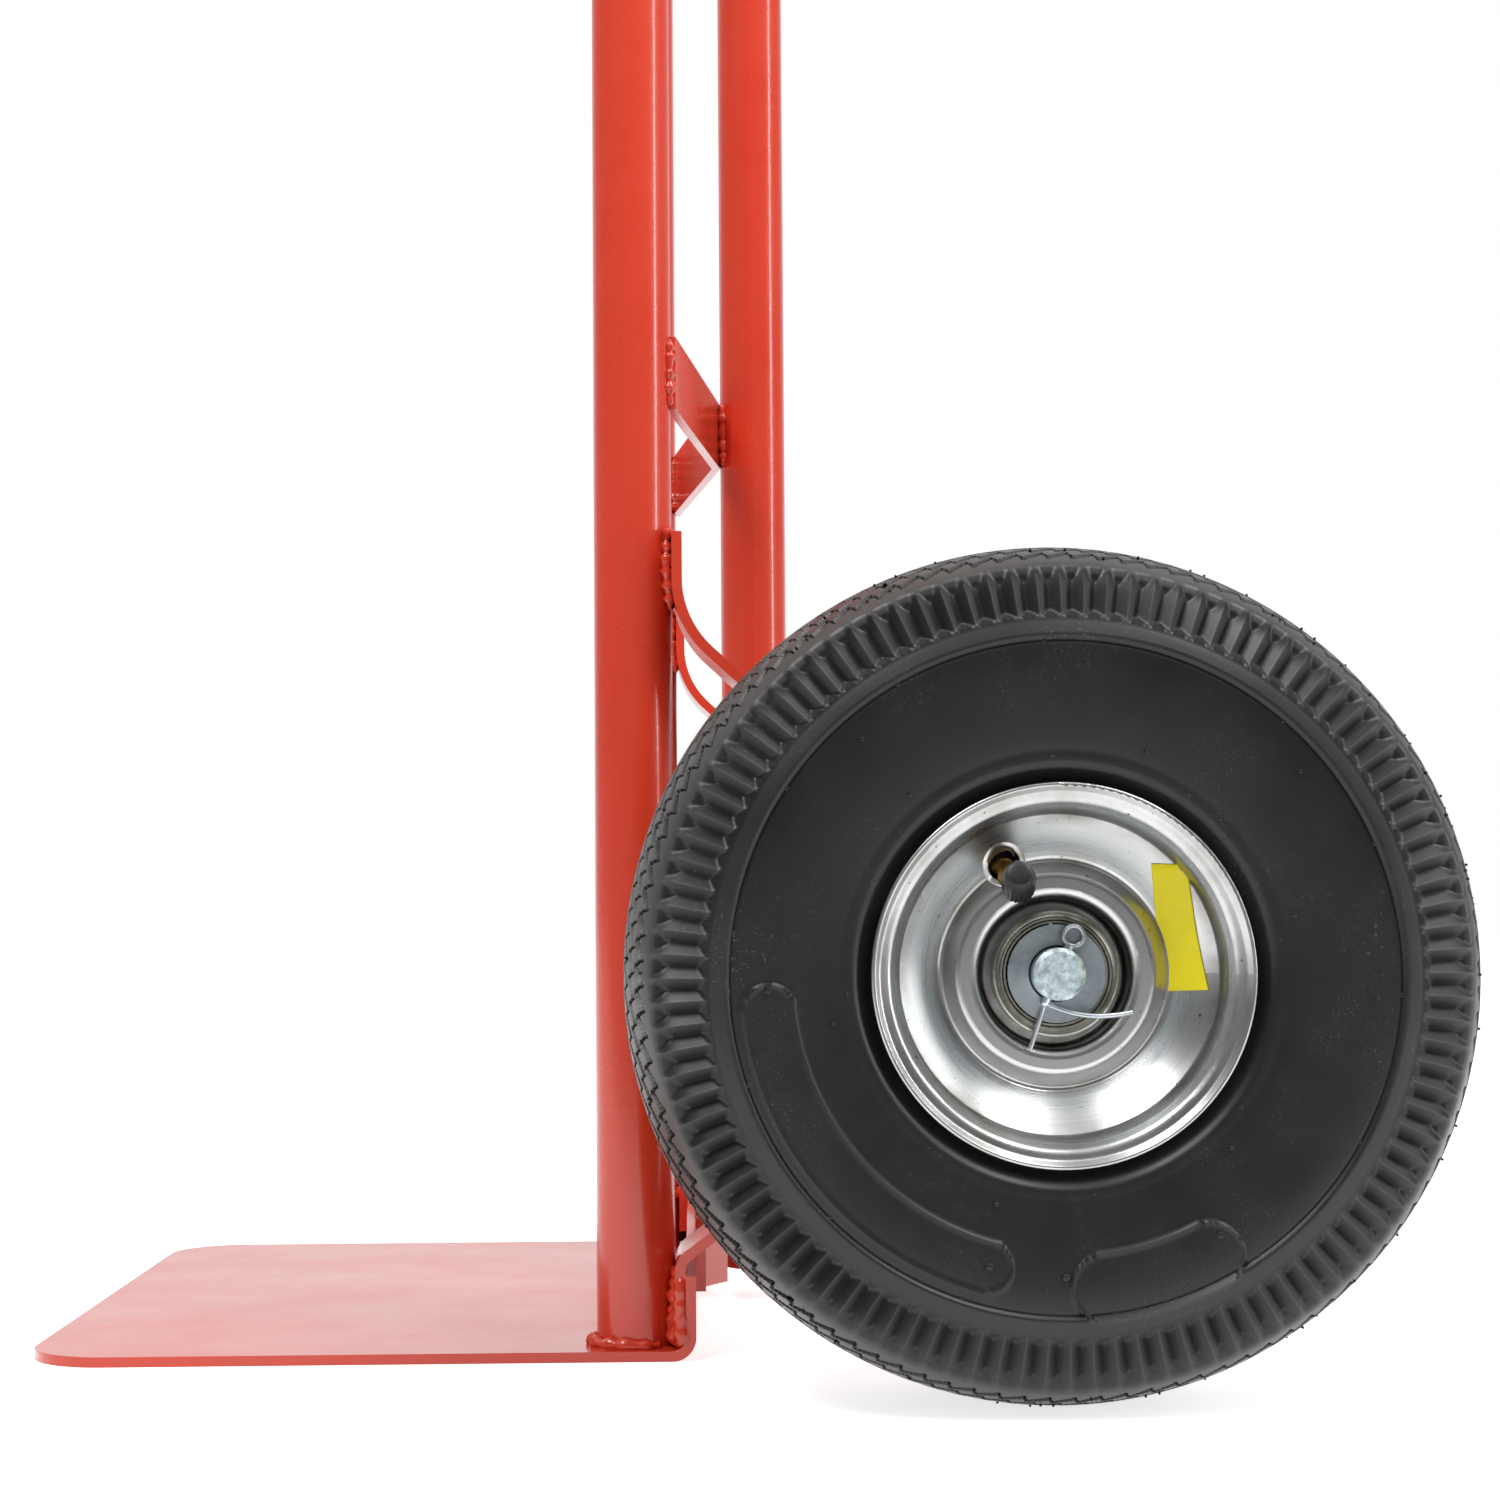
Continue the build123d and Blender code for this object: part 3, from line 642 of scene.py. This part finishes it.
def tyre_rubber():
    """Satin rubber: near black on the walls, greyer where the mask of scuffing and painted highlight is high,
    with fine specks of dust.
    """
    material, tree, shader = new_material("tyre_rubber", Specular_IOR_Level=0.38)
    cloud, specks = add_speckle(tree, scale=26.0, speck_scale=1100.0, speck_limit=0.6)
    wall = mix_colour(tree, cloud, wall_black, wall_grey)
    worn_and_highlit = mix_colour(tree, cloud, worn_and_highlit_black, worn_and_highlit_grey)
    wear_and_highlight = tree.nodes.new("ShaderNodeAttribute")
    wear_and_highlight.attribute_name = "wear_and_highlight"
    tone = mix_colour(tree, wear_and_highlight.outputs["Fac"], wall, worn_and_highlit)
    sprinkle = times(tree, remap(tree, cloud, *dust_patch), specks)
    paint(tree, shader, mix_colour(tree, sprinkle, tone, rubber_dust),
          remap(tree, cloud, *cloud_span, *tyre_roughness))
    bump_from(tree, shader, specks, strength=0.12, distance=0.0002)
    return material


def smooth_curve(points):
    """A smooth curve through (across, radius) points, sampled finer over the lugs and the tread."""
    p = np.array(points, float)
    p = np.vstack([2 * p[0] - p[1], p, 2 * p[-1] - p[-2]])
    t = np.linspace(0, 1, curve_points, endpoint=False)[:, None]
    runs = []
    for before, start, end, after in zip(p, p[1:], p[2:], p[3:]):
        bend = 2 * before - 5 * start + 4 * end - after
        twist = 3 * start - before - 3 * end + after
        runs.append(0.5 * (2 * start + (end - before) * t + bend * t ** 2 + twist * t ** 3))
    line = np.vstack(runs + [p[-2:-1]])
    r = line[1:, 1]
    spacing = np.select([r > fine_from, r > medium_from], [fine_step, medium_step], coarse_step)
    length = np.r_[0, np.cumsum(np.linalg.norm(np.diff(line, axis=0), axis=1) / spacing)]
    at = np.linspace(0, length[-1], int(length[-1]) + 1)
    return np.stack([np.interp(at, length, line[:, k]) for k in range(2)], 1)


def ramp(x, low, high):
    """0 below low and 1 above high, with a soft rise between."""
    t = np.clip((x - low) / (high - low), 0, 1)
    return t * t * (3 - 2 * t)


def band(x, low, high, edge):
    """1 between low and high, falling to 0 over an edge on both sides."""
    return ramp(x, low - edge, low) * (1 - ramp(x, high, high + edge))


def pad_height(angle, r, middle, half, r_mid, r_half):
    """Raised plain pad with round ends and a thin rib round it; middle and half are in degrees."""
    along = np.abs(((angle - middle + 180) % 360) - 180) * math.pi / 180 * r_mid
    past = np.maximum(along - (half * math.pi / 180 * r_mid - r_half), 0)
    inside = r_half - np.hypot(past, r - r_mid)
    return pad_tall * ramp(inside, *pad_edge) + pad_rib_tall * band(inside, *pad_rib, pad_rib_edge)


def tread_height(u, turn):
    """Sawtooth grooves round the tread, as a negative height."""
    height = np.zeros(np.broadcast_shapes(u.shape, turn.shape))
    step = turn / (2 * math.pi) * lug_count
    for k, centre in enumerate(tread_rows):
        saw = (step * (1 if centre > 0 else -1) + 0.5 * (k % 2)) % 1
        swing = np.where(saw < tread_rise, saw / tread_rise, (1 - saw) / (1 - tread_rise)) - 0.5
        away = np.abs(u - centre - math.copysign(tread_swing, centre) * swing)
        height = np.minimum(height, -tread_depth * (1 - ramp(away, *tread_groove)))
    return height * (1 - ramp(np.abs(u), *tread_edge))


def lug_tooth(u, turn):
    """0 on the ridge of a lug and 1 in the gap; the two walls are half a lug apart."""
    phase = np.where(u > 0, 0.0, 0.5)
    return 1 - np.abs(2 * ((turn / (2 * math.pi) * lug_count + phase) % 1) - 1)


def lug_height(u, r, turn):
    """Three-sided ridges with sloping lower ends, shallower where they meet the tread."""
    ends = np.clip((r - lug_low) * lug_end, 0, lug_depth) * (1 - lug_shallow * ramp(r, *lug_shallow_r))
    return -np.minimum(lug_depth * lug_tooth(u, turn), ends) * (1 - ramp(r, *lug_top_r))


def wall_height(r):
    """The flat band with a groove under it, and the rib by the bead."""
    height = (band_tall - band_fall * (r - band_r[0])) * band(r, *band_r, band_edge)
    height = height - band_groove_deep * band(r, *band_groove_r, band_groove_edge)
    return height + bead_rib_tall * band(r, *bead_rib_r, bead_rib_edge)


def wear_and_highlight_mask(u, r, turn, height, wall):
    """Where the rubber is grey: scuffed on the tread's top, the band and along the lug gaps, and on the lug
    ridges a line that is part scuffing, part painted highlight.
    """
    tooth = lug_tooth(u, turn)
    # On each lug ridge a pale line: partly scuffing, partly a painted highlight.
    ridge = scuffed_and_highlit_ridge * np.clip(1 - tooth * scuff_rate, 0, 1)
    gap = scuffed_gap * np.clip((tooth - 1) * scuff_rate + 1, 0, 1)
    mask = ramp(r, *scuffed_top_r) * ramp(height, *scuffed_top_height)
    mask = mask + scuffed_band * band(r, *scuffed_band_r, scuffed_band_edge)
    return mask + (ridge + gap) * band(r, *scuffed_lug_r, scuffed_lug_edge) * wall


def tyre_mesh():
    """The whole casing: an outer skin with its reliefs, and a plain lining, swept round the axle."""
    half = smooth_curve(wall_points)
    outer = np.vstack([half, (half * [-1, 1])[-2::-1]])
    slope = np.gradient(outer, axis=0)
    normal = np.stack([slope[:, 1], -slope[:, 0]], 1) / np.linalg.norm(slope, axis=1)[:, None]
    u, r = outer[:, :1], outer[:, 1:]
    columns = lug_count * lug_columns
    turn = np.linspace(0, 2 * math.pi, columns, endpoint=False)[None, :]
    wall = np.where(np.abs(u) > wall_from, 1.0, 0.0)
    raised = sum(pad_height(np.degrees(turn), r, *pad) for pad in pads)
    height = tread_height(u, turn) + wall * (lug_height(u, r, turn) + wall_height(r))
    height = height + np.where(u > 0, raised, 0)
    inside = np.array(lining)
    across = np.vstack([u + normal[:, :1] * height, np.repeat(inside[:, :1], columns, 1)])
    reach = np.vstack([r + normal[:, 1:] * height, np.repeat(inside[:, 1:], columns, 1)])
    verts = np.stack([across, reach * np.cos(turn), reach * np.sin(turn)], -1).reshape(-1, 3) * mm
    rows = len(across)
    i, j = np.arange(rows)[:, None], np.arange(columns)[None, :]
    up, on = (i + 1) % rows, (j + 1) % columns
    corners = [i * columns + j, up * columns + j, up * columns + on, i * columns + on]
    quads = np.stack(corners, -1).reshape(-1, 4)
    mesh = bpy.data.meshes.new("tyre")
    mesh.vertices.add(len(verts))
    mesh.vertices.foreach_set("co", verts.ravel())
    mesh.loops.add(quads.size)
    mesh.loops.foreach_set("vertex_index", quads.ravel())
    mesh.polygons.add(len(quads))
    mesh.polygons.foreach_set("loop_start", np.arange(0, quads.size, 4))
    mesh.polygons.foreach_set("use_smooth", np.ones(len(quads), bool))
    mask = wear_and_highlight_mask(u, r, turn, height, wall)
    wear_and_highlight = mesh.attributes.new("wear_and_highlight", "FLOAT", "POINT")
    wear_and_highlight.data.foreach_set("value", np.vstack([mask, np.zeros((len(inside), columns))]).ravel())
    mesh.update()
    mesh.validate()
    mesh.set_sharp_from_angle(angle=tyre_crease)
    mesh.materials.append(rubber)
    return mesh


rubber = tyre_rubber()
on_wheels("tyre_tread", tyre_mesh(), "tyre")

# Vent stubs: little rubber pips, one with the tyre, that the mould's air holes leave on its wall and tread.
# A row is its first angle, step and count, then across, radius, lean, and the pip's own radius and height,
# in degrees and millimetres.
pip_rng = np.random.default_rng(11)
wall_pips = ((93.3, 26.3, 13, 42.0, 99.2, 86, 0.75, 0.5), (130.4, 45, 8, 42.3, 92.0, 90, 0.7, 0.5),
             (92.7, 46, 8, 38.3, 64.6, 105, 0.8, 0.6), (69.3, 61, 6, 40.0, 70.2, 105, 0.8, 0.5))
pad_dots, pad_dot = (182.3, 254.3, 269.1, 300.1), (42.35, 88.0, 90, 1.25, 0.6)
tread_pips = ((-20.0, 128.6), (-12.0, 130.2), (12.0, 130.2), (20.0, 128.6), (29.0, 125.6))
tread_pip_count, tread_pip_lean, tread_pip_r, tread_pip_tall = 26, 0.8, 0.4, 0.8
pip_sides, pip_sunk, pip_shoulder, pip_crown, pip_crown_share = 8, 0.4, 0.6, 0.9, 0.7


def pip(angle, u, r, lean, radius, tall):
    """A small round-topped stub; lean is its direction between outward (0) and sideways (90)."""
    out = np.array([math.sin(math.radians(lean)), math.cos(math.radians(lean))])
    beside = np.array([out[1], -out[0]])
    base = np.array([u, r]) - out * pip_sunk
    shoulder, crown = pip_sunk + pip_shoulder * tall, pip_sunk + pip_crown * tall
    rings = ((0.0, 1.0), (shoulder, 1.0), (crown, pip_crown_share))
    verts = []
    for height, share in rings:
        for a in np.linspace(0, 2 * math.pi, pip_sides, endpoint=False):
            spot = base + out * height + beside * radius * share * math.cos(a)
            verts.append((*spot, radius * share * math.sin(a)))
    verts.append((*(base + out * (pip_sunk + tall)), 0.0))
    cos, sin = math.cos(math.radians(angle)), math.sin(math.radians(angle))
    verts = [(x * mm, (y * cos - z * sin) * mm, (y * sin + z * cos) * mm) for x, y, z in verts]
    top, tip = (len(rings) - 1) * pip_sides, len(rings) * pip_sides
    faces = ring_faces(len(rings), pip_sides)
    faces += [(top + k, top + (k + 1) % pip_sides, tip) for k in range(pip_sides)]
    faces += [tuple(range(pip_sides))[::-1]]
    return verts, faces


def pip_mesh():
    """All the stubs of one tyre: rows on the wall, larger dots on the pads, a scatter on the tread."""
    spots = [(first + step * k, *shape) for first, step, count, *shape in wall_pips for k in range(count)]
    spots += [(angle, *pad_dot) for angle in pad_dots]
    for u, r in tread_pips:
        spots += [(angle, u, r, u * tread_pip_lean, tread_pip_r, tread_pip_tall)
                  for angle in pip_rng.uniform(0, 360, tread_pip_count)]
    return mesh_of("vent_stubs", *join_forms(pip(*spot) for spot in spots), rubber)


on_wheels("vent_stubs", pip_mesh())

# Stage: a plain pale floor under a soft studio sky, lit by two softboxes overhead and a tall side panel.
# Camera rays see floor and sky as white; in metal and enamel the floor is a white sheet under the object,
# and the sky a room that is bright behind the object and overhead, and dark toward the camera.
floor_half, floor_lift = 9.0, 0.74
floor_paper, floor_beyond, sheet_end = (0.86, 0.86, 0.86, 1), (0.2, 0.2, 0.2, 1), (0.6, 1.3)
white, soft_grey, ceiling = (1, 1, 1, 1), (0.52, 0.52, 0.53, 1), (0.8, 0.8, 0.82, 1)
room_greys, room_dark = ((0.025, 1.0), (0.2, 0.36), (0.5, 0.2), (0.8, 0.18)), (0.18, 0.18, 0.185, 1)
ceiling_from = (0.4, 0.85)
softboxes = (("left_softbox", (1.0, -0.85, 2.0), (0.1, 0, 0.3), (0.8, 0.8), 27),
             ("right_softbox", (1.0, 1.05, 2.0), (0.1, 0.1, 0.3), (0.8, 0.8), 24),
             ("right_panel", (0.7, 2.2, 0.9), (0, 0, 0.6), (0.24, 2.0), 18))


def brighter(tree, *outputs):
    """The largest of several value outputs."""
    best = outputs[0]
    for output in outputs[1:]:
        node = tree.nodes.new("ShaderNodeMath")
        node.operation = "MAXIMUM"
        tree.links.new(best, node.inputs[0])
        tree.links.new(output, node.inputs[1])
        best = node.outputs[0]
    return best


def floor_white():
    """White to the camera; in reflections white near the object and dim beyond the end of the sheet."""
    material, tree, shader = new_material("floor_white", Roughness=1.0, Specular_IOR_Level=0.0,
                                          Emission_Color=white)
    path = tree.nodes.new("ShaderNodeLightPath").outputs
    spot = tree.nodes.new("ShaderNodeSeparateXYZ")
    tree.links.new(tree.nodes.new("ShaderNodeNewGeometry").outputs["Position"], spot.inputs[0])
    near = remap(tree, spot.outputs["X"], *sheet_end, 1.0, 0.0)
    mirrored = mix_colour(tree, near, floor_beyond, floor_paper)
    colour = mix_colour(tree, path["Is Glossy Ray"], floor_paper, mirrored)
    shown = brighter(tree, path["Is Camera Ray"], path["Is Transmission Ray"],
                     times(tree, path["Is Glossy Ray"], near))
    tree.links.new(times(tree, shown, floor_lift), shader.inputs["Emission Strength"])
    tree.links.new(colour, shader.inputs["Base Color"])
    return material


floor_corners = [(x * floor_half, y * floor_half, 0) for x, y in ((-1, -1), (1, -1), (1, 1), (-1, 1))]
floor_mesh = bpy.data.meshes.new("floor")
floor_mesh.from_pydata(floor_corners, [], [(0, 1, 2, 3)])
floor_mesh.materials.append(floor_white())
floor = bpy.data.objects.new("floor", floor_mesh)
bpy.context.scene.collection.objects.link(floor)

world = bpy.data.worlds.new("studio")
bpy.context.scene.world = world
world.use_nodes = True
sky = world.node_tree
sky_path = sky.nodes.new("ShaderNodeLightPath").outputs
heading = sky.nodes.new("ShaderNodeSeparateXYZ")
sky.links.new(sky.nodes.new("ShaderNodeTexCoord").outputs["Generated"], heading.inputs[0])
room = grey_ramp(sky, remap(sky, heading.outputs["X"], -1.0, 1.0), room_greys, room_dark)
overhead = remap(sky, heading.outputs["Z"], *ceiling_from, smooth=True)
shown = brighter(sky, sky_path["Is Camera Ray"], sky_path["Is Transmission Ray"])
seen = mix_colour(sky, shown, soft_grey, white)
mirrored = mix_colour(sky, overhead, room, ceiling)
sky_colour = mix_colour(sky, sky_path["Is Glossy Ray"], seen, mirrored)
sky.links.new(sky_colour, sky.nodes["Background"].inputs["Color"])

for name, at, aim, size, watts in softboxes:
    lamp = bpy.data.lights.new(name, "AREA")
    lamp.shape, lamp.size, lamp.size_y, lamp.energy = "RECTANGLE", *size, watts
    holder = bpy.data.objects.new(name, lamp)
    holder.location = at
    holder.rotation_euler = (Vector(aim) - Vector(at)).to_track_quat("-Z", "Y").to_euler()
    bpy.context.scene.collection.objects.link(holder)

# Camera: low and close, square to the right wheel, so that the upper frame runs out of the picture.
# Its lens is given in pixels of a square picture, its place in metres and its turns in radians.
picture_px, focal_px, sensor_mm = 1500, 2787.9, 36.0
camera_at = Vector((1.0957, -0.00742, 0.1546))
yaw, pitch, roll = 0.0207, 0.0534, -0.0070
ahead = Vector((-math.cos(pitch) * math.cos(yaw), math.cos(pitch) * math.sin(yaw), math.sin(pitch)))
level = Vector((math.sin(yaw), math.cos(yaw), 0))
above = level.cross(ahead)
camera_right = math.cos(roll) * level + math.sin(roll) * above
camera_up = math.cos(roll) * above - math.sin(roll) * level
camera_data = bpy.data.cameras.new("camera")
camera_data.sensor_width = sensor_mm
camera_data.lens = focal_px / picture_px * sensor_mm
camera = bpy.data.objects.new("camera", camera_data)
camera.matrix_world = Matrix((camera_right, camera_up, -ahead)).transposed().to_4x4()
camera.location = camera_at
bpy.context.scene.collection.objects.link(camera)
bpy.context.scene.camera = camera
bpy.context.scene.view_settings.view_transform = "Standard"
